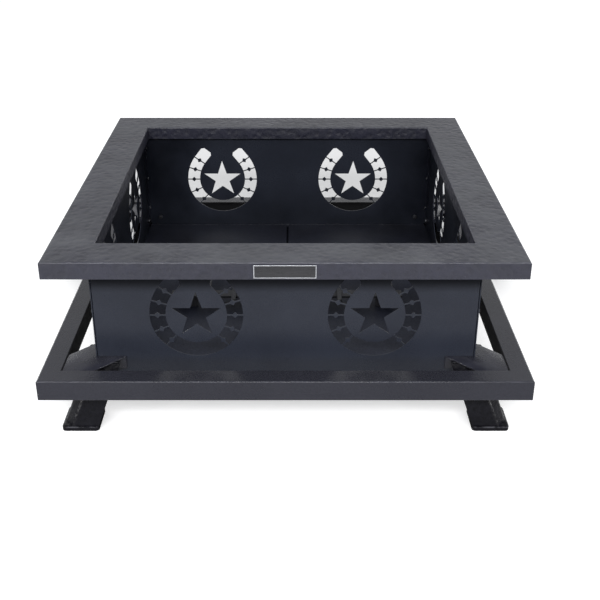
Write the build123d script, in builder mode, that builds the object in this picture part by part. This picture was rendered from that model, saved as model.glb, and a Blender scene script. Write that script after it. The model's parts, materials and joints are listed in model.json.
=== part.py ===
from build123d import *
from math import atan2, cos, degrees, pi, radians, sin, sqrt, tan
import os

# A square steel fire pit: a mitred rim on a firebox of four folded walls with
# horseshoe-and-star cut-outs, held by corner gussets in a lower frame of mitred
# tube, on four leaning angle legs. A low fire grate stands loose on the floor.
# Millimetres, Z up, the ground at Z = 0, the middle of the square at X = Y = 0,
# the front towards -Y. Front pieces and front left corners are drawn, and the
# other sides and corners are quarter turns of them.

# Heights
total_height = 381
ground_clearance = 94         # under the frame and the walls

# Firebox
box_span = 768                # outside of the walls
wall_sheet = 2
wall_bend = 2.5               # at the middle of the sheet
top_flange = 30               # outwards, under the rim
edge_flange = 16              # inwards, at the floor and at the corners
corner_gap = 0.2              # between a side wall and the corner flange inside it
bend_relief = 8               # bare height of a wall's corner, clear of the bends

# Rim
rim_overhang = 73             # beyond the walls
rim_cover = 16                # inside the walls' outer faces
rim_sheet = 2.5
rim_bend = 2.5                # at the middle of the sheet
rim_skirt = 35
rim_lip = 32
mitre_gap = 0.5
splice_width = 34
splice_length = 110
splice_sheet = 3
splice_gap = 1                # between the splice and the skirts

# Horseshoe and star
motif_offset = 177            # from the middle of a wall
motif_drop = 151              # below the top of the rim
toe_radius = 77               # of the middle of the band
arm_radius = 94
arm_angle = 38                # turn of an arm before its straight end
arm_end = 31                  # length of the straight end
arm_corner = 6                # cut off both corners of an arm's end
band_width = 32
bridge_width = 2.4
bridge_diamond = 13           # corner to corner, on each bridge
toe_pitch = 32                # between bridges, along the middle of the band
arm_pitch = 28.7
star_radius = 52
star_waist = 0.382            # inner over outer radius of a five-pointed star

# Lower frame
frame_gap = 57                # between the walls and the rails
rail_width = 42
rail_height = 44
rail_wall = 2
rail_corner = 3
gusset_sheet = 3
gusset_drop = 2               # below the rails' top faces
gusset_reach = 61             # along the walls and the rails, from their corners
gusset_tab = 25
gusset_relief = 5             # between the tabs, at the walls' corner

# Legs and feet
leg_inset = 19                # beyond the walls at the gusset
leg_lean = 20.4               # degrees from upright, both ways
leg_flange = 71
leg_facet = 18
leg_return = 25               # folded in at both flanges' ends, below the frame
leg_sheet = 3
foot_size = 75
foot_thickness = 10
foot_corner = 8
foot_lip = 3.5                # proud of the leg

# Floor
floor_sheet = 2
floor_edge = 3                # clear of the walls' inner faces
seam_gap = 3
seam_flange = 17              # height of the folded edges at the seam
seam_bend = 3
support_width = 90
support_channel = 34
support_sheet = 2

# Name plate, bare
plate_length = 117
plate_height = 27
plate_sheet = 1.2
plate_drop = 18.5             # centre below the top of the rim
plate_border = 1.6
plate_relief = 0.6

# Gusset bolts, with closed cap nuts inside the walls
bolt = 6
bolt_hole = 6.6
head_flats = 10
head_height = 4
nut_height = 6

# Fire grate
grate_height = 44
grate_bar = 10
grate_bar_length = 300
grate_bar_count = 9
grate_bar_pitch = 60
grate_cross_width = 30
grate_cross_sheet = 6
grate_cross_length = 530
grate_cross_inset = 50        # from the bars' ends
grate_foot_length = 40
grate_foot_inset = 40

# Worked out from the sizes above
quarter_turns = {"front": 0, "right": 90, "back": 180, "left": 270}
corner_turns = {"front_left": 0, "front_right": 90, "back_right": 180, "back_left": 270}

box_half = box_span / 2
box_inner = box_half - wall_sheet
wall_bottom = ground_clearance
wall_top = total_height - rim_sheet
rim_half = box_half + rim_overhang
rim_inner = box_half - rim_cover
rail_inner = box_half + frame_gap
rail_outer = rail_inner + rail_width
rail_top = ground_clearance + rail_height
gusset_top = rail_top - gusset_drop
gusset_bottom = gusset_top - gusset_sheet
floor_bottom = wall_bottom + wall_sheet
floor_top = floor_bottom + floor_sheet
floor_half = box_inner - floor_edge
fold_clear = wall_bend + wall_sheet      # a bend's room past its corner


def mitred(section, half_length):
    """A bar along X with its ends cut at 45 degrees, for a square's front side."""
    with BuildPart() as bar:
        extrude(section, amount=half_length, both=True)
        for way in (-1, 1):
            cut = Plane(origin=(-way * mitre_gap / sqrt(2), 0, 0), z_dir=(-way, -1, 0))
            split(bisect_by=cut, keep=Keep.TOP)
    return bar.part


def folded(plane, points, bend, sheet):
    """The section of a folded sheet, from the middle line through its corners."""
    with BuildSketch(plane) as section:
        with BuildLine():
            FilletPolyline(*points, radius=bend)
        trace(line_width=sheet)
    return section.sketch


def turned_copies(master, turns, prefix):
    """Write a piece once for each quarter turn about the middle of the square."""
    for place, turn in turns.items():
        with BuildPart() as piece:
            add(master, rotation=(0, 0, turn))
        piece.part.label = f"{prefix}_{place}"
        export_step(piece.part, f"parts/{prefix}_{place}.step")


def write(piece, name):
    piece.label = name
    export_step(piece, f"parts/{name}.step")


def star_points(radius):
    """Corners of an upright five-pointed star about the origin."""
    for corner in range(10):
        reach = radius if corner % 2 == 0 else radius * star_waist
        angle = pi / 2 + corner * pi / 5
        yield reach * cos(angle), reach * sin(angle)


os.makedirs("parts", exist_ok=True)

# Rim: four folded channels, open downwards, mitred into a square
rim_mid = rim_half - rim_sheet / 2
lip_mid = rim_inner + rim_sheet / 2
rim_top_mid = total_height - rim_sheet / 2
rim_section = folded(
    Plane.YZ,
    [
        (-rim_mid, total_height - rim_skirt),
        (-rim_mid, rim_top_mid),
        (-lip_mid, rim_top_mid),
        (-lip_mid, total_height - rim_lip),
    ],
    rim_bend,
    rim_sheet,
)
turned_copies(mitred(rim_section, rim_half), quarter_turns, "rim")

# Rim splices: angle plates under the mitres, in the room outside the walls' flanges
splice_outer = rim_half - rim_sheet - rim_bend - splice_gap
with BuildPart() as rim_splice:
    with BuildSketch(Plane.XY.offset(wall_top)):
        with BuildLine():
            Polyline(
                (-splice_outer, -splice_outer),
                (-splice_outer + splice_length, -splice_outer),
                (-splice_outer + splice_length, -splice_outer + splice_width),
                (-splice_outer + splice_width, -splice_outer + splice_width),
                (-splice_outer + splice_width, -splice_outer + splice_length),
                (-splice_outer, -splice_outer + splice_length),
                close=True,
            )
        make_face()
    extrude(amount=-splice_sheet)
    chamfer(rim_splice.edges().filter_by(Axis.Z).group_by(Axis.X)[-1], splice_sheet)
    chamfer(rim_splice.edges().filter_by(Axis.Z).group_by(Axis.Y)[-1], splice_sheet)
turned_copies(rim_splice.part, corner_turns, "rim_splice")

# Horseshoe and star: a band of cut-outs parted by thin bridges, each with a small
# diamond left on it, around a large star
with BuildSketch() as horseshoe:
    with BuildLine():
        toe = CenterArc((0, 0), toe_radius, 180, 180)
        right_arm = JernArc(toe @ 1, toe % 1, arm_radius, arm_angle)
        PolarLine(right_arm @ 1, arm_end, direction=right_arm % 1)
        left_arm = JernArc(toe @ 0, -(toe % 0), arm_radius, -arm_angle)
        PolarLine(left_arm @ 1, arm_end, direction=left_arm % 1)
    trace(line_width=band_width)
    chamfer(horseshoe.vertices().sort_by(Axis.Y)[-4:], arm_corner)
with BuildSketch() as motif:
    add(horseshoe.sketch)
    bridges = [(toe, toe_pitch * step, way) for step in (1, 2) for way in (0, 1)]
    bridges += [(arm, arm_pitch * step, 0) for step in (0, 1, 2) for arm in (left_arm, right_arm)]
    for path, distance, from_end in bridges:
        place = (path.length - distance if from_end else distance) / path.length
        along = path % place
        with Locations(Location(path @ place, (0, 0, degrees(atan2(along.Y, along.X))))):
            Rectangle(bridge_width, band_width + bridge_width, mode=Mode.SUBTRACT)
            RegularPolygon(bridge_diamond / 2, 4, mode=Mode.SUBTRACT)
    Polygon(*star_points(star_radius), align=None)


motif_height = total_height - motif_drop
with BuildSketch(Plane.XZ.offset(box_half)) as wall_motifs:
    with Locations((-motif_offset, motif_height), (motif_offset, motif_height)):
        add(motif.sketch)

# Walls: the top folded outwards under the rim, the bottom inwards under the floor.
# Front and back have folded ends, which lie inside the side walls.
wall_mid = box_half - wall_sheet / 2
wall_section = folded(
    Plane.YZ,
    [
        (-box_half - top_flange, wall_top - wall_sheet / 2),
        (-wall_mid, wall_top - wall_sheet / 2),
        (-wall_mid, wall_bottom + wall_sheet / 2),
        (-box_half + edge_flange, wall_bottom + wall_sheet / 2),
    ],
    wall_bend,
    wall_sheet,
)
corner_flange_mid = box_inner - corner_gap - wall_sheet / 2
main_half = box_inner - corner_gap - fold_clear
gusset_bolt = box_half - (gusset_reach + gusset_relief) / 2
gusset_bolt_height = gusset_bottom - gusset_tab / 2


def flanged_wall(half_length):
    """A wall along X on the front side, with its cut-outs and gusset bolt holes."""
    with BuildPart() as wall:
        extrude(wall_section, amount=half_length, both=True)
        extrude(wall_motifs.sketch, amount=-2 * wall_sheet, mode=Mode.SUBTRACT)
        for way in (-1, 1):
            with Locations(Plane((way * gusset_bolt, -box_half, gusset_bolt_height), z_dir=(0, -1, 0))):
                Hole(bolt_hole / 2, depth=2 * wall_sheet)
    return wall.part


with BuildPart() as end_wall:
    add(flanged_wall(main_half))
    for way in (-1, 1):
        end_section = folded(
            Plane.XY.offset(wall_bottom + bend_relief),
            [
                (way * (main_half - fold_clear), -wall_mid),
                (way * corner_flange_mid, -wall_mid),
                (way * corner_flange_mid, -box_half + edge_flange),
            ],
            wall_bend,
            wall_sheet,
        )
        extrude(end_section, amount=wall_top - wall_bottom - 2 * bend_relief)

with BuildPart() as side_wall:
    add(flanged_wall(box_half))
    # Without the bottom fold at its ends, to pass the end walls' folds
    notch = box_half - edge_flange - corner_gap
    for way in (-1, 1):
        with BuildSketch(Plane.XY.offset(wall_bottom)):
            with Locations((way * box_half, -box_half + edge_flange)):
                Rectangle(2 * (box_half - notch), 2 * edge_flange)
        extrude(amount=bend_relief, mode=Mode.SUBTRACT)

for place, turn in quarter_turns.items():
    master = end_wall if place in ("front", "back") else side_wall
    turned_copies(master.part, {place: turn}, "wall")

# Lower frame: four rails of square tube, mitred
with BuildSketch(Plane.YZ) as rail_section:
    with Locations((-(rail_inner + rail_outer) / 2, ground_clearance + rail_height / 2)):
        RectangleRounded(rail_width, rail_height, rail_corner)
        Rectangle(rail_width - 2 * rail_wall, rail_height - 2 * rail_wall, mode=Mode.SUBTRACT)
turned_copies(mitred(rail_section.sketch, rail_outer), quarter_turns, "rail")

# Gussets: a plate from the corner of the rails to the corner of the walls, with a
# slotted tab down each wall
with BuildPart() as gusset:
    with BuildSketch(Plane.XY.offset(gusset_bottom)):
        with BuildLine():
            Polyline(
                (-rail_inner, -rail_inner),
                (-rail_inner + gusset_reach, -rail_inner),
                (-box_half + gusset_reach, -box_half),
                (-box_half, -box_half),
                (-box_half, -box_half + gusset_reach),
                (-rail_inner, -rail_inner + gusset_reach),
                close=True,
            )
        make_face()
    extrude(amount=gusset_sheet)
    tab_top = Plane.XY.offset(gusset_top)
    tab_length = gusset_reach - gusset_relief
    with BuildSketch(tab_top):
        with Locations((-box_half + gusset_relief, -box_half)):
            Rectangle(tab_length, gusset_sheet, align=(Align.MIN, Align.MAX))
        with Locations((-box_half, -box_half + gusset_relief)):
            Rectangle(gusset_sheet, tab_length, align=(Align.MAX, Align.MIN))
    extrude(amount=-gusset_sheet - gusset_tab)
    # Slots open downwards, so that the tabs drop over their bolts
    front_face = Plane((-gusset_bolt, -box_half, gusset_bolt_height), x_dir=(1, 0, 0), z_dir=(0, -1, 0))
    left_face = Plane((-box_half, -gusset_bolt, gusset_bolt_height), x_dir=(0, -1, 0), z_dir=(-1, 0, 0))
    for tab_face in (front_face, left_face):
        with BuildSketch(tab_face):
            with Locations((0, bolt_hole / 2)):
                Rectangle(bolt_hole, gusset_tab, align=(Align.CENTER, Align.MAX))
        extrude(amount=gusset_sheet, mode=Mode.SUBTRACT)
turned_copies(gusset.part, corner_turns, "gusset")

# Legs: angles with a faceted corner and returned ends, leaning out on both sides
# from under the gussets
leg_rise = gusset_bottom - foot_thickness
leg_slope = tan(radians(leg_lean))
leg_corner = box_half + leg_inset + leg_rise * leg_slope
with BuildPart() as leg:
    with BuildSketch(Plane.XY.offset(foot_thickness)):
        with BuildLine():
            outside = Polyline(
                (-leg_corner + leg_flange, -leg_corner),
                (-leg_corner + leg_facet, -leg_corner),
                (-leg_corner, -leg_corner + leg_facet),
                (-leg_corner, -leg_corner + leg_flange),
            )
            offset(outside, amount=leg_sheet, side=Side.RIGHT)
        make_face()
    lean = Vector(leg_slope, leg_slope, 1)
    extrude(amount=leg_rise * lean.length, dir=lean)
    # The flanges' ends fold in, up to the level of the walls
    with BuildSketch(Plane.XY.offset(foot_thickness)):
        with Locations((-leg_corner + leg_flange, -leg_corner)):
            Rectangle(leg_sheet, leg_return, align=(Align.MAX, Align.MIN))
        with Locations((-leg_corner, -leg_corner + leg_flange)):
            Rectangle(leg_return, leg_sheet, align=(Align.MIN, Align.MAX))
    extrude(amount=(ground_clearance - foot_thickness) * lean.length, dir=lean)
turned_copies(leg.part, corner_turns, "leg")

# Feet: flat pads, a little proud of the legs
foot_middle = leg_corner + foot_lip - foot_size / 2
with BuildPart() as foot:
    with BuildSketch():
        with Locations((-foot_middle, -foot_middle)):
            RectangleRounded(foot_size, foot_size, foot_corner)
    extrude(amount=foot_thickness)
turned_copies(foot.part, corner_turns, "foot_pad")

# Floor: two pans on the walls' bottom flanges, folded down where they meet
pan_mid = floor_top - floor_sheet / 2
seam_mid = (seam_gap + floor_sheet) / 2
pan_section = folded(
    Plane.XZ,
    [(-floor_half, pan_mid), (-seam_mid, pan_mid), (-seam_mid, floor_top - seam_flange)],
    seam_bend,
    floor_sheet,
)
with BuildPart() as floor_pan:
    extrude(pan_section, amount=floor_half, both=True)
    # The seam's fold stops short of the end walls' flanges
    for way in (-1, 1):
        with BuildSketch(Plane.XY.offset(floor_bottom)):
            with Locations((0, way * (box_half - edge_flange - seam_gap))):
                Rectangle(
                    support_width,
                    2 * edge_flange,
                    align=(Align.CENTER, Align.MAX if way < 0 else Align.MIN),
                )
        extrude(amount=-seam_flange, mode=Mode.SUBTRACT)
turned_copies(floor_pan.part, {"left": 0, "right": 180}, "floor")

# Floor support: a hat channel under the seam, its brim against the end walls' flanges
brim_mid = wall_bottom - support_sheet / 2
channel_mid = floor_top - seam_flange - support_sheet / 2
with BuildPart() as floor_support:
    with BuildSketch(Plane.XZ) as support_section:
        with BuildLine():
            Polyline(
                (-support_width / 2, brim_mid),
                (-support_channel / 2, brim_mid),
                (-support_channel / 2, channel_mid),
                (support_channel / 2, channel_mid),
                (support_channel / 2, brim_mid),
                (support_width / 2, brim_mid),
            )
        trace(line_width=support_sheet)
    extrude(amount=box_inner, both=True)
write(floor_support.part, "floor_support")

# Name plate on the front of the rim, bare inside its raised border
plate_face = Plane.XZ.offset(rim_half)
plate_centre = (0, total_height - plate_drop)
with BuildPart() as name_plate:
    with BuildSketch(plate_face):
        with Locations(plate_centre):
            Rectangle(plate_length, plate_height)
    extrude(amount=plate_sheet)
    with BuildSketch(plate_face.offset(plate_sheet)):
        with Locations(plate_centre):
            Rectangle(plate_length, plate_height)
            Rectangle(
                plate_length - 2 * plate_border,
                plate_height - 2 * plate_border,
                mode=Mode.SUBTRACT,
            )
    extrude(amount=plate_relief)
write(name_plate.part, "name_plate")


# Gusset bolts through the tabs into the walls, with cap nuts inside
bolt_seats = [
    Plane(
        origin=Vector(way * gusset_bolt, -box_half - gusset_sheet, gusset_bolt_height).rotate(
            Axis.Z, turn
        ),
        z_dir=Vector(0, -1, 0).rotate(Axis.Z, turn),
    )
    for turn in quarter_turns.values()
    for way in (-1, 1)
]
bolt_grip = gusset_sheet + wall_sheet
with BuildPart() as gusset_bolts:
    for seat in bolt_seats:
        with BuildSketch(seat):
            RegularPolygon(head_flats / 2, 6, major_radius=False)
        extrude(amount=head_height)
        with BuildSketch(seat):
            Circle(bolt / 2)
        extrude(amount=-bolt_grip)
write(gusset_bolts.part, "gusset_bolts")

with BuildPart() as gusset_nuts:
    for seat in bolt_seats:
        with BuildSketch(seat.offset(-bolt_grip)):
            RegularPolygon(head_flats / 2, 6, major_radius=False)
        extrude(amount=-nut_height)
write(gusset_nuts.part, "gusset_nuts")

# Fire grate: square bars across two flat bars on four feet, loose on the floor
grate_top = floor_top + grate_height
cross_top = grate_top - grate_bar
cross_bottom = cross_top - grate_cross_sheet
cross_offset = grate_bar_length / 2 - grate_cross_inset
with BuildPart() as grate_bars:
    with BuildSketch(Plane.XZ.offset(-grate_bar_length / 2)):
        with Locations((0, grate_top - grate_bar / 2)):
            with GridLocations(grate_bar_pitch, grate_bar, grate_bar_count, 1):
                Rectangle(grate_bar, grate_bar)
    extrude(amount=grate_bar_length)
write(grate_bars.part, "grate_bars")

for place, way in (("front", -1), ("back", 1)):
    with BuildPart() as grate_cross:
        with BuildSketch(Plane.XY.offset(cross_bottom)):
            with Locations((0, way * cross_offset)):
                Rectangle(grate_cross_length, grate_cross_width)
        extrude(amount=grate_cross_sheet)
    write(grate_cross.part, f"grate_cross_{place}")

foot_offset = grate_cross_length / 2 - grate_foot_inset
for place in corner_turns:
    across = -1 if place.endswith("left") else 1
    along = -1 if place.startswith("front") else 1
    with BuildPart() as grate_foot:
        with BuildSketch(Plane.XY.offset(floor_top)):
            with Locations((across * foot_offset, along * cross_offset)):
                Rectangle(grate_foot_length, grate_cross_sheet)
        extrude(amount=cross_bottom - floor_top)
    write(grate_foot.part, f"grate_foot_{place}")
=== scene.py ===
import json
import math
import bmesh
import bpy
from mathutils import Matrix, Vector

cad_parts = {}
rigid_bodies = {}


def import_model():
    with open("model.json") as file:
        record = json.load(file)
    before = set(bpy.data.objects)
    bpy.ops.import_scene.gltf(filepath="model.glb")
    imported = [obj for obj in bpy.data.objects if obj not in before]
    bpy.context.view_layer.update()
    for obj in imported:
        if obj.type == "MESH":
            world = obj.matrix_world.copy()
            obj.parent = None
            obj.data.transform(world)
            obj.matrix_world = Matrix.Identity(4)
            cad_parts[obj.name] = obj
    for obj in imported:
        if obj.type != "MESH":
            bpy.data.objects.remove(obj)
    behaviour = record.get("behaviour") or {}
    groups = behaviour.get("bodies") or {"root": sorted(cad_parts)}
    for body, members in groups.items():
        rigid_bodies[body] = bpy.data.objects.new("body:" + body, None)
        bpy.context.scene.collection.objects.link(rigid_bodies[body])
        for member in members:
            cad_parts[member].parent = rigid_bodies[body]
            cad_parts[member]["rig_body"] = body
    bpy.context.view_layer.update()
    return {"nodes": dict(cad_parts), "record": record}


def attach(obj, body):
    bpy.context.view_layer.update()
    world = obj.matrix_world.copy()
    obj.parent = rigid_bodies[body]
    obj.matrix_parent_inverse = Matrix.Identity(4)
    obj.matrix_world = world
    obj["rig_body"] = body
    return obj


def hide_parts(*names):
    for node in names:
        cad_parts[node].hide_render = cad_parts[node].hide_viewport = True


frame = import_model()
nodes = frame["nodes"]
nodeSlots = {part["node"]: part["material_slot"] for part in frame["record"]["subparts"]}
corners = ("front_left", "front_right", "back_right", "back_left")
quarter = math.pi / 2
print("frame loaded,", len(nodes), "CAD nodes")


# Shader helpers

def addNode(tree, kind, values=None, **settings):
    node = tree.nodes.new(kind)
    for name, value in settings.items():
        setattr(node, name, value)
    for socket, value in (values or {}).items():
        if isinstance(value, bpy.types.NodeSocket):
            tree.links.new(value, node.inputs[socket])
        else:
            node.inputs[socket].default_value = value
    return node


def maths(tree, operation, *values):
    return addNode(tree, "ShaderNodeMath", dict(enumerate(values)), operation=operation).outputs[0]


def ramp(tree, value, low, high, start=0.0, end=1.0, smooth=True):
    kind = "SMOOTHSTEP" if smooth else "LINEAR"
    values = {"Value": value, "From Min": low, "From Max": high, "To Min": start, "To Max": end}
    return addNode(tree, "ShaderNodeMapRange", values, interpolation_type=kind).outputs["Result"]


def mixColour(tree, factor, first, second):   # sockets 6 and 7 hold its two colours
    values = {"Factor": factor, 6: first, 7: second}
    return addNode(tree, "ShaderNodeMix", values, data_type="RGBA").outputs[2]


def mixValue(tree, factor, first, second):   # sockets 2 and 3 hold its two values
    return addNode(tree, "ShaderNodeMix", {0: factor, 2: first, 3: second}).outputs[0]


def noise(tree, place, scale, detail=2.0, roughness=0.5):
    values = {"Vector": place, "Scale": scale, "Detail": detail, "Roughness": roughness}
    return addNode(tree, "ShaderNodeTexNoise", values).outputs["Fac"]


def newGroup(name, inputs, outputs):
    tree = bpy.data.node_groups.new(name, "ShaderNodeTree")
    for label, kind, value in inputs:
        socket = tree.interface.new_socket(label, in_out="INPUT", socket_type="NodeSocket" + kind)
        if value is not None:
            socket.default_value = value
    for label, kind in outputs:
        tree.interface.new_socket(label, in_out="OUTPUT", socket_type="NodeSocket" + kind)
    source = tree.nodes.new("NodeGroupInput").outputs
    return tree, source, tree.nodes.new("NodeGroupOutput")


def useGroup(tree, group, values):
    return addNode(tree, "ShaderNodeGroup", values, node_tree=group).outputs


# Effects shared by the finishes

grainLook = {"warpScale": 60.0, "warp": 0.006, "soft": 0.8, "dimple": (0.05, 0.75)}


def makeHammerGrain():   # soft dimples of a hammered powder coat, over a fine orange peel
    tree, source, result = newGroup(
        "hammerGrain",
        [("Vector", "Vector", None), ("Scale", "Float", 160.0), ("Peel Scale", "Float", 700.0),
         ("Peel", "Float", 0.3)],
        [("Height", "Float"), ("Mask", "Float")],
    )
    warp = addNode(tree, "ShaderNodeTexNoise", {"Vector": source["Vector"], "Detail": 1.0,
                                                "Scale": grainLook["warpScale"]})
    shift = addNode(tree, "ShaderNodeVectorMath",
                    {0: warp.outputs["Color"], "Scale": grainLook["warp"]},
                    operation="SCALE").outputs[0]
    place = addNode(tree, "ShaderNodeVectorMath", {0: source["Vector"], 1: shift}).outputs[0]
    cells = addNode(tree, "ShaderNodeTexVoronoi",
                    {"Vector": place, "Scale": source["Scale"], "Smoothness": grainLook["soft"]},
                    feature="SMOOTH_F1").outputs["Distance"]
    dimples = ramp(tree, cells, *grainLook["dimple"])
    peel = noise(tree, source["Vector"], source["Peel Scale"])
    height = maths(tree, "MULTIPLY_ADD", maths(tree, "SUBTRACT", peel, 0.5), source["Peel"], dimples)
    tree.links.new(height, result.inputs["Height"])
    tree.links.new(dimples, result.inputs["Mask"])
    return tree


def makeRingWearAndHighlight():   # rubbed edges of a square ring, paler as wear and as a painted highlight along them: its outer and inner top corners, broken up
    tree, source, result = newGroup(
        "ringWearAndHighlight",
        [("Vector", "Vector", None), ("Outer", "Float", 0.4), ("Inner", "Float", 0.3),
         ("Top", "Float", 0.1), ("Width", "Float", 0.003), ("Break Up", "Float", 40.0)],
        [("Mask", "Float"), ("Reach", "Float")],
    )
    place = addNode(tree, "ShaderNodeSeparateXYZ", {0: source["Vector"]}).outputs
    acrossX, acrossY = (maths(tree, "ABSOLUTE", place[axis]) for axis in "XY")
    reach = maths(tree, "MAXIMUM", acrossX, acrossY)
    fromOuter = maths(tree, "SUBTRACT", source["Outer"], reach)
    fromInner = maths(tree, "SUBTRACT", reach, source["Inner"])
    fromTop = maths(tree, "SUBTRACT", source["Top"], place["Z"])
    nearSide = maths(tree, "MINIMUM", fromOuter, fromInner)
    away = maths(tree, "DIVIDE", maths(tree, "MAXIMUM", nearSide, fromTop), source["Width"])
    edge = ramp(tree, away, 1.0, 0.1)
    patches = ramp(tree, noise(tree, source["Vector"], source["Break Up"], 4.0, 0.6), 0.38, 0.62)
    tree.links.new(maths(tree, "MULTIPLY", edge, patches), result.inputs["Mask"])
    tree.links.new(reach, result.inputs["Reach"])
    return tree


dustAndTopLightLook = {"colour": (0.125, 0.13, 0.14, 1), "rough": 0.9, "specks": 420.0}


def makeDustTopLightGroup():   # thin dust on upward faces, in soft patches; set heavy, as on the rim, it is also painted light that makes the tops paler
    tree, source, result = newGroup(
        "dustTopLightGroup",
        [("Vector", "Vector", None), ("Normal", "Vector", None), ("Scale", "Float", 9.0),
         ("Amount", "Float", 0.1)],
        [("Mask", "Float")],
    )
    facing = addNode(tree, "ShaderNodeSeparateXYZ", {0: source["Normal"]}).outputs["Z"]
    up = ramp(tree, facing, 0.3, 0.95)
    patches = ramp(tree, noise(tree, source["Vector"], source["Scale"], 5.0, 0.6), 0.3, 0.75)
    specks = ramp(tree, noise(tree, source["Vector"], dustAndTopLightLook["specks"]), 0.4, 0.75, 0.6, 1.0)
    mask = maths(tree, "MULTIPLY", maths(tree, "MULTIPLY", up, patches), specks)
    tree.links.new(maths(tree, "MULTIPLY", mask, source["Amount"]), result.inputs["Mask"])
    return tree


sootAndShadeLook = {   # where soot settled and shade is painted, in metres: from the middle outwards, and upwards
    "rough": 0.35,
    "corner": (0.16, 0.30),
    "away": (0.16, 0.33, 0.12, 1.0),   # the middle of the floor stays paler: painted light
    "low": (0.3, 0.1, 0.0, 0.72),
    "walls": (0.36, 0.38, 0.0, 0.18),
    # the side walls darkest: painted shade
    "sideWallShade": (0.3805, 0.3815),
    "litFloorFront": (0.18, 0.06),   # painted light: the front of the floor is kept pale
    "litFloorFrontTop": (0.104, 0.1),
}


def makeSootAndShadeGroup():   # soot inside the firebox, with painted shade: darker low down, in the corners and on the side walls, and painted light on the middle and front of the floor
    tree, source, result = newGroup(
        "sootShadeGroup",
        [("Vector", "Vector", None), ("Inside", "Float", 0.3825), ("Amount", "Float", 0.6)],
        [("Mask", "Float")],
    )
    place = addNode(tree, "ShaderNodeSeparateXYZ", {0: source["Vector"]}).outputs
    acrossX, acrossY = (maths(tree, "ABSOLUTE", place[axis]) for axis in "XY")
    corner = ramp(tree, maths(tree, "MINIMUM", acrossX, acrossY), *sootAndShadeLook["corner"])
    reach = maths(tree, "MAXIMUM", acrossX, acrossY)
    away = ramp(tree, reach, *sootAndShadeLook["away"])
    low = maths(tree, "MULTIPLY", ramp(tree, place["Z"], *sootAndShadeLook["low"]), away)
    walls = ramp(tree, reach, *sootAndShadeLook["walls"])
    sideWallShade = ramp(tree, acrossX, *sootAndShadeLook["sideWallShade"])
    cloud = ramp(tree, noise(tree, source["Vector"], 5.0, 5.0, 0.6), 0.3, 0.7, 0.5, 1.0)
    heavy = maths(tree, "MAXIMUM", corner, low)
    heavy = maths(tree, "MAXIMUM", maths(tree, "MAXIMUM", heavy, sideWallShade), walls)
    within = maths(tree, "LESS_THAN", reach, source["Inside"])
    litFront = maths(tree, "MULTIPLY", ramp(tree, place["Y"], *sootAndShadeLook["litFloorFront"]),
                  ramp(tree, place["Z"], *sootAndShadeLook["litFloorFrontTop"]))
    within = maths(tree, "MULTIPLY", within, maths(tree, "SUBTRACT", 1.0, litFront))
    mask = maths(tree, "MULTIPLY", maths(tree, "MULTIPLY", heavy, cloud), within)
    tree.links.new(maths(tree, "MULTIPLY", mask, source["Amount"]), result.inputs["Mask"])
    return tree


def makeInwardShade():   # painted shade: faces turned to the middle of the pit are darkened and made matt, as the shade under and between the parts
    tree, source, result = newGroup(
        "inwardShade",
        [("Vector", "Vector", None), ("Normal", "Vector", None), ("Amount", "Float", 0.9)],
        [("Mask", "Float")],
    )
    flat = addNode(tree, "ShaderNodeVectorMath", {0: source["Vector"], 1: (1, 1, 0)},
                   operation="MULTIPLY").outputs[0]
    turned = addNode(tree, "ShaderNodeVectorMath", {0: flat, 1: source["Normal"]},
                     operation="DOT_PRODUCT").outputs["Value"]
    mask = maths(tree, "MULTIPLY", ramp(tree, turned, -0.05, -0.2), source["Amount"])
    tree.links.new(mask, result.inputs["Mask"])
    return tree


hammerGrain = makeHammerGrain()
ringWearAndHighlight = makeRingWearAndHighlight()
dustTopLightGroup = makeDustTopLightGroup()
sootShadeGroup = makeSootAndShadeGroup()
inwardShade = makeInwardShade()


# Finishes, one for each slot of the part

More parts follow.
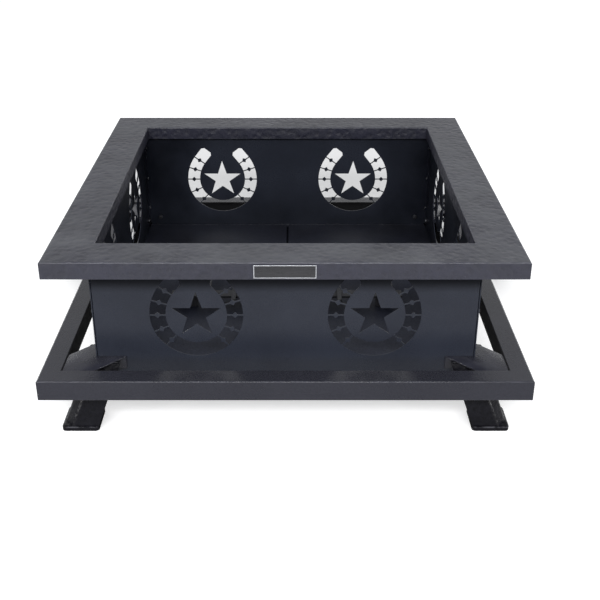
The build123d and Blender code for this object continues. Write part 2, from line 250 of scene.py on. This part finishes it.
wearAndHighlightWidth = 0.0035      # metres, along every rubbed edge and its painted highlight
outsideWalls = 0.3835   # metres from the middle, just inside the walls' outer faces
inwardShadeRough = 1.0         # roughness where the painted inward shade lies
# roughness of the painted shadow band under the rim
thinRough = 0.9
patchLook = {"scale": 7.0, "detail": 4.0, "rough": 0.55, "grainShare": 0.45, "peelFiner": 4.0}
coats = {   # colours from deep to pale, then the share or place of each effect on the coat
    "rim_coat": {
        "name": "slateHammeredCoat", "gloss": 0.57, "rough": (0.38, 0.50),
        "deep": (0.007, 0.0075, 0.015), "pale": (0.0145, 0.015, 0.028), "wornAndHighlight": (0.028, 0.029, 0.044),
        # the heavy dust on the rim is also painted light that makes its top paler
        "sootAndShadeTone": (0.004, 0.004, 0.0045), "sootAndShade": 0.0, "dustAndTopLight": 0.58,
        "grain": 78, "peel": 0.5, "bump": 0.9, "depth": 0.0011,
        "outer": 0.457, "inner": 0.368, "top": 0.381,
    },
    "body_coat": {
        "name": "darkSlateSatinCoat", "gloss": 0.22, "rough": (0.24, 0.32),
        "deep": (0.0145, 0.0165, 0.024), "pale": (0.0225, 0.026, 0.037), "wornAndHighlight": (0.05, 0.055, 0.075),
        # the last pair gives the heights of a painted shadow band below the rim
        "sootAndShadeTone": (0.0012, 0.0018, 0.0042), "sootAndShade": 0.97, "dustAndTopLight": 0.04, "thin": (0.278, 0.311),
        "grain": 420, "peel": 0.6, "bump": 0.12, "depth": 0.0002,
        "outer": 0.414, "inner": -1.0, "top": 0.3785,
    },
    "frame_coat": {
        "name": "slateGrainCoat", "gloss": 0.35, "rough": (0.22, 0.30),
        "deep": (0.013, 0.0135, 0.020), "pale": (0.020, 0.0205, 0.029), "wornAndHighlight": (0.030, 0.031, 0.043),
        # on the rails and legs the faces turned to the middle take painted shade
        "sootAndShadeTone": (0.001, 0.001, 0.0015), "sootAndShade": 0.0, "dustAndTopLight": 0.012, "inwards": 0.97,
        "grain": 240, "peel": 0.8, "bump": 0.3, "depth": 0.0003,
        "outer": 0.483, "inner": 0.441, "top": 0.138,
    },
    "floor_coat": {
        "name": "firedFloorCoat", "gloss": 0.15, "rough": (0.45, 0.62),
        "deep": (0.0115, 0.013, 0.021), "pale": (0.021, 0.024, 0.038), "wornAndHighlight": (0.03, 0.029, 0.03),
        "sootAndShadeTone": (0.0035, 0.0037, 0.006), "sootAndShade": 0.97, "dustAndTopLight": 0.12,
        "grain": 300, "peel": 0.8, "bump": 0.3, "depth": 0.0004,
        "outer": 0.39, "inner": -1.0, "top": 0.098,
    },
    "leg_coat": {
        "name": "blackLegPaint", "gloss": 0.12, "rough": (0.18, 0.42),
        "deep": (0.002, 0.002, 0.003), "pale": (0.008, 0.008, 0.011), "wornAndHighlight": (0.06, 0.06, 0.07),
        "sootAndShadeTone": (0.001, 0.001, 0.0015), "sootAndShade": 0.0, "dustAndTopLight": 0.03, "inwards": 1.0,
        "grain": 130, "peel": 0.5, "bump": 0.6, "depth": 0.0007,
        "outer": 0.4522, "inner": 0.3772, "top": 0.010,
    },
    "grate_paint": {
        "name": "mattGratePaint", "gloss": 0.3, "rough": (0.55, 0.75),
        "deep": (0.022, 0.023, 0.027), "pale": (0.042, 0.043, 0.049), "wornAndHighlight": (0.06, 0.038, 0.026),
        "sootAndShadeTone": (0.004, 0.004, 0.0045), "sootAndShade": 0.2, "dustAndTopLight": 0.2,
        "grain": 240, "peel": 0.9, "bump": 0.5, "depth": 0.0005,
        "outer": 0.27, "inner": -1.0, "top": 0.142,
    },
}


def makeCoat(look):
    deep, pale, wornAndHighlight, sootAndShadeTone = ((*look[shade], 1) for shade in ("deep", "pale", "wornAndHighlight", "sootAndShadeTone"))
    material = bpy.data.materials.new(look["name"])
    material.use_nodes = True
    tree = material.node_tree
    shader = tree.nodes["Principled BSDF"]
    place = tree.nodes.new("ShaderNodeTexCoord").outputs["Object"]
    normal = tree.nodes.new("ShaderNodeNewGeometry").outputs["Normal"]
    grain = useGroup(tree, hammerGrain, {"Vector": place, "Scale": look["grain"], "Peel": look["peel"],
                                         "Peel Scale": look["grain"] * patchLook["peelFiner"]})
    wearAndHighlight = useGroup(tree, ringWearAndHighlight, {"Vector": place, "Outer": look["outer"], "Inner": look["inner"],
                                     "Top": look["top"], "Width": wearAndHighlightWidth})
    dustAndTopLight = useGroup(tree, dustTopLightGroup, {"Vector": place, "Normal": normal, "Amount": look["dustAndTopLight"]})
    sootAndShade = useGroup(tree, sootShadeGroup, {"Vector": place, "Amount": look["sootAndShade"]})
    inward = useGroup(tree, inwardShade, {"Vector": place, "Normal": normal,
                                          "Amount": look.get("inwards", 0.0)})
    patches = noise(tree, place, patchLook["scale"], patchLook["detail"], patchLook["rough"])
    tone = mixValue(tree, patchLook["grainShare"], ramp(tree, patches, 0.3, 0.7), grain["Mask"])
    colour = mixColour(tree, tone, deep, pale)
    # rubbed edges, paler as wear and as a painted highlight
    colour = mixColour(tree, wearAndHighlight["Mask"], colour, wornAndHighlight)
    colour = mixColour(tree, dustAndTopLight["Mask"], colour, dustAndTopLightLook["colour"])
    # soot with painted shade and light, then painted shade on the inward faces
    colour = mixColour(tree, sootAndShade["Mask"], colour, sootAndShadeTone)
    colour = mixColour(tree, inward["Mask"], colour, sootAndShadeTone)
    rough = mixValue(tree, tone, look["rough"][1], look["rough"][0])
    rough = mixValue(tree, dustAndTopLight["Mask"], rough, dustAndTopLightLook["rough"])
    rough = mixValue(tree, sootAndShade["Mask"], rough, sootAndShadeLook["rough"])
    rough = mixValue(tree, inward["Mask"], rough, inwardShadeRough)
    if "thin" in look:   # painted shade: the panels darken up under the rim, as the rim's shadow
        height = addNode(tree, "ShaderNodeSeparateXYZ", {0: place}).outputs["Z"]
        outside = maths(tree, "GREATER_THAN", wearAndHighlight["Reach"], outsideWalls)
        thin = maths(tree, "MULTIPLY", ramp(tree, height, *look["thin"]), outside)
        colour = mixColour(tree, thin, colour, sootAndShadeTone)
        rough = mixValue(tree, thin, rough, thinRough)
    bump = addNode(tree, "ShaderNodeBump", {"Strength": look["bump"], "Distance": look["depth"],
                                            "Height": grain["Height"]})
    tree.links.new(colour, shader.inputs["Base Color"])
    tree.links.new(rough, shader.inputs["Roughness"])
    tree.links.new(bump.outputs["Normal"], shader.inputs["Normal"])
    shader.inputs["Specular IOR Level"].default_value = look["gloss"]
    return material


plateLook = {
    "enamel": (0.010, 0.010, 0.012, 1), "enamelPale": (0.022, 0.022, 0.026, 1),
    "bright": (0.62, 0.63, 0.66, 1), "brightDull": (0.40, 0.41, 0.44, 1),
    "face": -0.4585,   # y of the enamel, in metres: the border stands in front of it
    "brush": (30, 300, 1800), "bump": 0.15, "depth": 0.0001,
}


def makePlateMetal():   # black enamel between bright borders, which stand 0.6 mm proud
    look = plateLook
    material = bpy.data.materials.new("blackPlateBrightBorder")
    material.use_nodes = True
    tree = material.node_tree
    shader = tree.nodes["Principled BSDF"]
    place = tree.nodes.new("ShaderNodeTexCoord").outputs["Object"]
    depth = addNode(tree, "ShaderNodeSeparateXYZ", {0: place}).outputs["Y"]
    border = maths(tree, "LESS_THAN", depth, look["face"])
    along = addNode(tree, "ShaderNodeMapping", {"Vector": place, "Scale": look["brush"]}).outputs[0]
    brushed = noise(tree, along, 1.0, 3.0, 0.6)
    bright = mixColour(tree, brushed, look["brightDull"], look["bright"])
    enamel = mixColour(tree, noise(tree, place, 60.0, 3.0), look["enamel"], look["enamelPale"])
    tree.links.new(mixColour(tree, border, enamel, bright), shader.inputs["Base Color"])
    tree.links.new(border, shader.inputs["Metallic"])
    rough = mixValue(tree, border, ramp(tree, brushed, 0.3, 0.7, 0.22, 0.34),
                     ramp(tree, brushed, 0.3, 0.7, 0.25, 0.45))
    tree.links.new(rough, shader.inputs["Roughness"])
    bump = addNode(tree, "ShaderNodeBump", {"Strength": look["bump"], "Distance": look["depth"],
                                            "Height": brushed})
    tree.links.new(bump.outputs["Normal"], shader.inputs["Normal"])
    return material


hardwareLook = {
    "dark": (0.022, 0.023, 0.028, 1), "pale": (0.034, 0.035, 0.041, 1),
    "rubbed": (0.07, 0.07, 0.078, 1),
    "metallic": 0.5, "gloss": 0.3, "rough": (0.5, 0.36), "bump": 0.12, "depth": 0.0001,
}


def makeHardware():   # black oxide steel, rubbed brighter in spots
    look = hardwareLook
    material = bpy.data.materials.new("blackOxideSteel")
    material.use_nodes = True
    tree = material.node_tree
    shader = tree.nodes["Principled BSDF"]
    place = tree.nodes.new("ShaderNodeTexCoord").outputs["Object"]
    rubbed = ramp(tree, noise(tree, place, 160.0, 3.0, 0.55), 0.5, 0.75)
    fine = noise(tree, place, 900.0, 2.0)
    dark = mixColour(tree, fine, look["dark"], look["pale"])
    tree.links.new(mixColour(tree, rubbed, dark, look["rubbed"]), shader.inputs["Base Color"])
    shader.inputs["Metallic"].default_value = look["metallic"]
    shader.inputs["Specular IOR Level"].default_value = look["gloss"]
    tree.links.new(mixValue(tree, rubbed, *look["rough"]), shader.inputs["Roughness"])
    bump = addNode(tree, "ShaderNodeBump", {"Strength": look["bump"], "Distance": look["depth"],
                                            "Height": fine})
    tree.links.new(bump.outputs["Normal"], shader.inputs["Normal"])
    return material


finishes = {slot: makeCoat(look) for slot, look in coats.items()}
finishes["plate_metal"] = makePlateMetal()
finishes["hardware"] = makeHardware()
for name, node in nodes.items():
    for materialSlot in node.material_slots:
        materialSlot.material = finishes[nodeSlots[name]]
print("finishes made,", len(finishes))


# Pieces

def addPiece(name, mesh, slot, body="pit", smooth=None):
    data = bpy.data.meshes.new(name)
    mesh.to_mesh(data)
    mesh.free()
    data.materials.append(finishes[slot])
    piece = bpy.data.objects.new(name, data)
    bpy.context.scene.collection.objects.link(piece)
    if smooth:
        data.shade_smooth()
        data.set_sharp_from_angle(angle=math.radians(smooth))
    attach(piece, body)
    return piece


softEdges = {   # width in metres of the rounding on each plain piece's edges
    **{f"foot_pad_{corner}": 0.0012 for corner in corners},
    **{f"leg_{corner}": 0.0007 for corner in corners},
    **{f"gusset_{corner}": 0.0006 for corner in corners},
    **{f"grate_foot_{corner}": 0.0008 for corner in corners},
    "name_plate": 0.0002, "gusset_bolts": 0.0005, "gusset_nuts": 0.0005,
    "grate_bars": 0.0012, "grate_cross_front": 0.0008, "grate_cross_back": 0.0008,
}
edgeAngles = {"cut": 20, "fold": 60}   # degrees: from the first to the second is a leg's fold
legFold = 0.006      # metres, the rounder bend on a leg's two folds
mergeWithin = 1e-6   # metres


def sharpEdges(mesh, low, high=180):   # edges whose faces meet at between low and high degrees
    edges = (edge for edge in mesh.edges if len(edge.link_faces) == 2)
    return [edge for edge in edges if math.radians(low) < edge.calc_face_angle() < math.radians(high)]


def soften(name, width):   # the CAD piece with its cut edges rounded, as paint rounds them
    mesh = bmesh.new()
    mesh.from_mesh(nodes[name].data)
    bmesh.ops.remove_doubles(mesh, verts=mesh.verts, dist=mergeWithin)
    bmesh.ops.dissolve_limit(mesh, angle_limit=math.radians(1), verts=mesh.verts, edges=mesh.edges)
    rounding = {"profile": 0.5, "affect": "EDGES", "material": -1, "clamp_overlap": True}
    if name.startswith("leg"):   # the corner's two folds are rounder than the cut edges
        folds = sharpEdges(mesh, edgeAngles["cut"], edgeAngles["fold"])
        bmesh.ops.bevel(mesh, geom=folds, offset=legFold, segments=6, **rounding)
    cuts = sharpEdges(mesh, edgeAngles["cut"])
    bmesh.ops.bevel(mesh, geom=cuts, offset=width, segments=2, **rounding)
    piece = addPiece("soft_" + name, mesh, nodeSlots[name], nodes[name]["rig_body"], smooth=35)
    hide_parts(name)


for name, width in softEdges.items():
    soften(name, width)
print("edges softened on", len(softEdges), "pieces")


def edgesOf(verts):   # each edge once, in order
    return list(dict.fromkeys(edge for vert in verts for edge in vert.link_edges))


def quarterCopies(mesh):   # the same again at the other three corners
    whole = mesh.verts[:] + mesh.edges[:] + mesh.faces[:]
    for turn in (1, 2, 3):
        made = bmesh.ops.duplicate(mesh, geom=whole)["geom"]
        verts = [part for part in made if isinstance(part, bmesh.types.BMVert)]
        bmesh.ops.rotate(mesh, verts=verts, matrix=Matrix.Rotation(turn * quarter, 3, "Z"))


mitreSeams = {   # each ring's section at its front side: corners (y, z) in order, sheet and bend
    "rim": {"corners": ((-0.457, 0.346), (-0.457, 0.381), (-0.368, 0.381), (-0.368, 0.349)),
            "closed": False, "sheet": 0.0025, "bend": 0.00375, "slot": "rim_coat"},
    "rail": {"corners": ((-0.483, 0.094), (-0.483, 0.138), (-0.441, 0.138), (-0.441, 0.094)),
             "closed": True, "sheet": 0.002, "bend": 0.003, "slot": "frame_coat"},
}
mitreGap = 0.0005   # metres, square to the mitre
bendSegments = 5


def mitreWelds(ring, look):   # weld that fills the mitres, ground flush with the coat
    mesh = bmesh.new()
    line = [mesh.verts.new((0, y, z)) for y, z in look["corners"]]
    ends = line[1:] + line[:1] if look["closed"] else line[1:]
    for start, end in zip(line, ends):
        mesh.edges.new((start, end))
    bends = line if look["closed"] else line[1:3]
    bmesh.ops.bevel(mesh, geom=bends, offset=look["bend"], segments=bendSegments, profile=0.5,
                    affect="VERTICES", material=-1)
    wide = mitreGap * math.sqrt(2)
    bmesh.ops.translate(mesh, verts=mesh.verts, vec=(-wide / 2, 0, 0))
    grown = bmesh.ops.extrude_edge_only(mesh, edges=mesh.edges)["geom"]
    verts = [part for part in grown if isinstance(part, bmesh.types.BMVert)]
    bmesh.ops.translate(mesh, verts=verts, vec=(wide, 0, 0))
    bmesh.ops.recalc_face_normals(mesh, faces=mesh.faces)
    top = max(mesh.faces, key=lambda face: face.calc_center_median().z)
    if top.normal.z < 0:
        bmesh.ops.reverse_faces(mesh, faces=mesh.faces)
    bmesh.ops.solidify(mesh, geom=mesh.faces, thickness=look["sheet"])
    shear = Matrix(((1, 1, 0, 0), (0, 1, 0, 0), (0, 0, 1, 0), (0, 0, 0, 1)))
    bmesh.ops.transform(mesh, matrix=shear, verts=mesh.verts)
    for vert in mesh.verts:   # the outermost edge stops at the ring's own corner
        vert.co.x = max(vert.co.x, look["corners"][0][0])
    quarterCopies(mesh)
    bmesh.ops.recalc_face_normals(mesh, faces=mesh.faces)
    addPiece(ring + "_mitre_welds", mesh, look["slot"], smooth=40)


for ring, look in mitreSeams.items():
    mitreWelds(ring, look)
print("mitre welds filled")

beads = {   # weld beads of the front left corner, from and to, with their radius
    "gusset": {"radius": 0.0024, "slot": "frame_coat", "runs": (
        ((-0.438, -0.4405, 0.1325), (-0.382, -0.4405, 0.1325)),
        ((-0.4405, -0.438, 0.1325), (-0.4405, -0.382, 0.1325)))},
    "leg": {"radius": 0.0024, "slot": "leg_coat", "runs": (
        ((-0.384, -0.4035, 0.1322), (-0.334, -0.4035, 0.1322)),
        ((-0.4035, -0.384, 0.1322), (-0.4035, -0.334, 0.1322)),
        ((-0.4265, -0.4450, 0.0108), (-0.3825, -0.4450, 0.0108)),
        ((-0.4450, -0.4265, 0.0108), (-0.4450, -0.3825, 0.0108)))},
}
beadLook = {"sides": 8, "pitch": 0.0016, "ripple": 0.14, "end": 0.5}


def weldBead(mesh, start, end, radius):   # a rippled bead, drawn ring by ring
    start, end = Vector(start), Vector(end)
    rings = max(4, round((end - start).length / beadLook["pitch"]))
    turn = (end - start).to_track_quat("Z", "Y").to_matrix().to_4x4()
    size = beadLook["end"]
    ring = bmesh.ops.create_circle(mesh, cap_ends=True, segments=beadLook["sides"],
                                   radius=radius * size,
                                   matrix=Matrix.Translation(start) @ turn)["verts"]
    edges = edgesOf(ring)
    step = (end - start) / rings
    for count in range(1, rings + 1):
        grown = bmesh.ops.extrude_edge_only(mesh, edges=edges)["geom"]
        verts = [part for part in grown if isinstance(part, bmesh.types.BMVert)]
        edges = [part for part in grown if isinstance(part, bmesh.types.BMEdge)]
        wanted = beadLook["end"] if count == rings else 1 + beadLook["ripple"] * (count % 3 - 1)
        middle = start + step * count
        bmesh.ops.translate(mesh, verts=verts, vec=step)
        bmesh.ops.scale(mesh, verts=verts, vec=(wanted / size,) * 3, space=Matrix.Translation(-middle))
        size = wanted
    bmesh.ops.contextual_create(mesh, geom=edges)


for place, look in beads.items():
    mesh = bmesh.new()
    for start, end in look["runs"]:
        weldBead(mesh, start, end, look["radius"])
    quarterCopies(mesh)
    bmesh.ops.recalc_face_normals(mesh, faces=mesh.faces)
    addPiece(place + "_weld_beads", mesh, look["slot"], smooth=60)
print("weld beads laid")

cornerScrews = {
    "across": 0.374, "heights": (0.150, 0.235, 0.320), "wall": 0.384, "inside": 0.3798,
    "head": 0.0048, "rise": 0.0026, "sides": 18,
    "rings": ((0.4, 1.0), (0.35, 0.86), (0.25, 0.6), (0.0, 0.48), (-0.6, 0.46)),   # of rise and head
    "nutReach": 0.0046, "nut": 0.004, "nutEdge": 0.0004,
}


def screwHead(mesh, matrix):
    look = cornerScrews
    disc = bmesh.ops.create_circle(mesh, cap_ends=True, segments=look["sides"],
                                   radius=look["head"])["verts"]
    verts = list(disc)
    edges = edgesOf(disc)
    size = 1.0
    for rise, wanted in look["rings"]:
        grown = bmesh.ops.extrude_edge_only(mesh, edges=edges)["geom"]
        ring = [part for part in grown if isinstance(part, bmesh.types.BMVert)]
        edges = [part for part in grown if isinstance(part, bmesh.types.BMEdge)]
        bmesh.ops.translate(mesh, verts=ring, vec=(0, 0, rise * look["rise"]))
        bmesh.ops.scale(mesh, verts=ring, vec=(wanted / size, wanted / size, 1))
        size = wanted
        verts += ring
    bmesh.ops.contextual_create(mesh, geom=edges)
    bmesh.ops.transform(mesh, matrix=matrix, verts=verts)


def makeCornerScrews():   # through the side walls into the end walls' flanges, with nuts inside
    look = cornerScrews
    mesh = bmesh.new()
    for side in (-1, 1):
        facing = Matrix.Rotation(side * quarter, 4, "Y")
        for along in (-1, 1):
            for height in look["heights"]:
                place = Vector((side * look["wall"], along * look["across"], height))
                screwHead(mesh, Matrix.Translation(place) @ facing)
                inner = Vector((side * (look["inside"] - look["nut"] / 2), place.y, height))
                nut = bmesh.ops.create_cone(mesh, cap_ends=True, segments=6, radius1=look["nutReach"],
                                            radius2=look["nutReach"], depth=look["nut"],
                                            matrix=Matrix.Translation(inner) @ facing)["verts"]
                rims = [edge for edge in edgesOf(nut)
                        if abs(edge.verts[0].co.x - edge.verts[1].co.x) < mergeWithin]
                bmesh.ops.bevel(mesh, geom=rims, offset=look["nutEdge"], segments=2, profile=0.5,
                                affect="EDGES", material=-1)
    bmesh.ops.recalc_face_normals(mesh, faces=mesh.faces)
    addPiece("corner_screws", mesh, "body_coat", smooth=40)


makeCornerScrews()
print("corner screws in")

seamPlugs = {"half": (0.0157, 0.0008, 0.0064), "place": (0, 0.380, 0.0875), "edge": 0.0003}


def makeSeamPlugs():   # close the ends of the floor support, so that no light shows in the seam
    mesh = bmesh.new()
    for way in (-1, 1):
        x, y, z = seamPlugs["place"]
        size = Matrix.Diagonal([2 * half for half in seamPlugs["half"]] + [1])
        bmesh.ops.create_cube(mesh, size=1.0, matrix=Matrix.Translation((x, way * y, z)) @ size)
    bmesh.ops.bevel(mesh, geom=mesh.edges[:], offset=seamPlugs["edge"], segments=2, profile=0.5,
                    affect="EDGES", material=-1)
    addPiece("seam_plugs", mesh, "floor_coat", smooth=40)


makeSeamPlugs()
print("seam plugs in")


# Stage, light and camera

stageLook = {   # the floor's colour to the eye and in gloss, then in the light it throws back
    "size": 24.0, "tone": (0.72, 0.72, 0.725, 1), "bounce": (0.16, 0.16, 0.168, 1), "glow": 0.5,
    "rough": 0.9, "gloss": 0.1,
    "shade": {"wide": (0.66, 0.53), "near": (0.06, 0.32), "far": (1.75, 1.38)},   # painted shadow, as if cast behind it
    "sky": (0.98, 0.99, 1.0, 1), "skyPower": 0.72,
}
softboxes = {   # metres and watts
    "overheadSoftbox": {"place": (0, -0.3, 3.2), "size": (3.4, 3.0), "watts": 6, "aim": (0, 0, 0.2)},
    "frontSoftbox": {"place": (-0.3, -3.3, 2.5), "size": (3.6, 0.6), "watts": 132, "aim": (0, 0, 0.25)},
    "leftSpot": {"place": (-2.9, -2.3, 0.4), "size": (0.6, 0.4), "watts": 36, "aim": (-0.4, -0.4, 0.1)},
    "rightSpot": {"place": (2.9, -2.3, 0.4), "size": (0.6, 0.4), "watts": 36, "aim": (0.4, -0.4, 0.1)},
    "backLeftSpot": {"place": (-2.9, 2.3, 0.7), "size": (2.2, 1.0), "watts": 34,
                     "aim": (-0.2, 0.4, 0.15)},
    "backRightSpot": {"place": (2.9, 2.3, 0.7), "size": (2.2, 1.0), "watts": 34,
                      "aim": (0.2, 0.4, 0.15)},
    "backSoftbox": {"place": (0.6, 4.0, 0.5), "size": (3.4, 0.6), "watts": 8, "aim": (0, 0, 0.25)},
}
cameraLook = {   # metres, degrees and millimetres
    "place": (0.0157, -2.0224, 1.1323), "tilt": 64.52, "lens": 56.436, "shift": (0.011, -0.0667),
}


def makeStage():
    mesh = bmesh.new()
    bmesh.ops.create_grid(mesh, x_segments=1, y_segments=1, size=stageLook["size"] / 2)
    data = bpy.data.meshes.new("stageFloor")
    mesh.to_mesh(data)
    mesh.free()
    floor = bpy.data.objects.new("stageFloor", data)
    bpy.context.scene.collection.objects.link(floor)
    paper = bpy.data.materials.new("stagePaper")
    paper.use_nodes = True
    tree = paper.node_tree
    shader = tree.nodes["Principled BSDF"]
    light = tree.nodes.new("ShaderNodeLightPath").outputs
    seen = maths(tree, "MAXIMUM", light["Is Camera Ray"], light["Is Glossy Ray"])
    colour = mixColour(tree, seen, stageLook["bounce"], stageLook["tone"])
    place = tree.nodes.new("ShaderNodeTexCoord").outputs["Object"]
    place = addNode(tree, "ShaderNodeSeparateXYZ", {0: place}).outputs
    edges = stageLook["shade"]
    # painted shadow behind the pit: the floor's glow is taken away there
    shade = maths(tree, "MULTIPLY", ramp(tree, place["Y"], *edges["near"]),
                  ramp(tree, place["Y"], *edges["far"]))
    across = ramp(tree, maths(tree, "ABSOLUTE", place["X"]), *edges["wide"])
    shade = maths(tree, "MULTIPLY", shade, across)
    glow = ramp(tree, shade, 0.0, 1.0, stageLook["glow"], 0.0, smooth=False)
    glow = maths(tree, "MULTIPLY", light["Is Camera Ray"], glow)
    tree.links.new(colour, shader.inputs["Base Color"])
    tree.links.new(glow, shader.inputs["Emission Strength"])
    shader.inputs["Emission Color"].default_value = (1, 1, 1, 1)
    shader.inputs["Roughness"].default_value = stageLook["rough"]
    shader.inputs["Specular IOR Level"].default_value = stageLook["gloss"]
    data.materials.append(paper)


def makeLights():
    world = bpy.data.worlds.new("studioSky")
    bpy.context.scene.world = world
    world.use_nodes = True
    sky = world.node_tree.nodes["Background"]
    sky.inputs["Color"].default_value = stageLook["sky"]
    seen = world.node_tree.nodes.new("ShaderNodeLightPath").outputs["Is Camera Ray"]
    strength = maths(world.node_tree, "MAXIMUM", seen, stageLook["skyPower"])   # a white backdrop
    world.node_tree.links.new(strength, sky.inputs["Strength"])
    for name, box in softboxes.items():
        light = bpy.data.lights.new(name, "AREA")
        light.shape = "RECTANGLE"
        light.size, light.size_y = box["size"]
        light.energy = box["watts"]
        lamp = bpy.data.objects.new(name, light)
        lamp.location = box["place"]
        lamp.visible_camera = False
        aim = Vector(box["aim"]) - Vector(box["place"])
        lamp.rotation_euler = aim.to_track_quat("-Z", "Y").to_euler()
        bpy.context.scene.collection.objects.link(lamp)


def makeCamera():
    data = bpy.data.cameras.new("studioCamera")
    data.lens = cameraLook["lens"]
    data.shift_x, data.shift_y = cameraLook["shift"]
    camera = bpy.data.objects.new("studioCamera", data)
    camera.location = cameraLook["place"]
    camera.rotation_euler = (math.radians(cameraLook["tilt"]), 0, 0)
    bpy.context.scene.collection.objects.link(camera)
    bpy.context.scene.camera = camera


makeStage()
makeLights()
makeCamera()
bpy.context.scene.view_settings.view_transform = "Standard"
print("stage, lights and camera set")
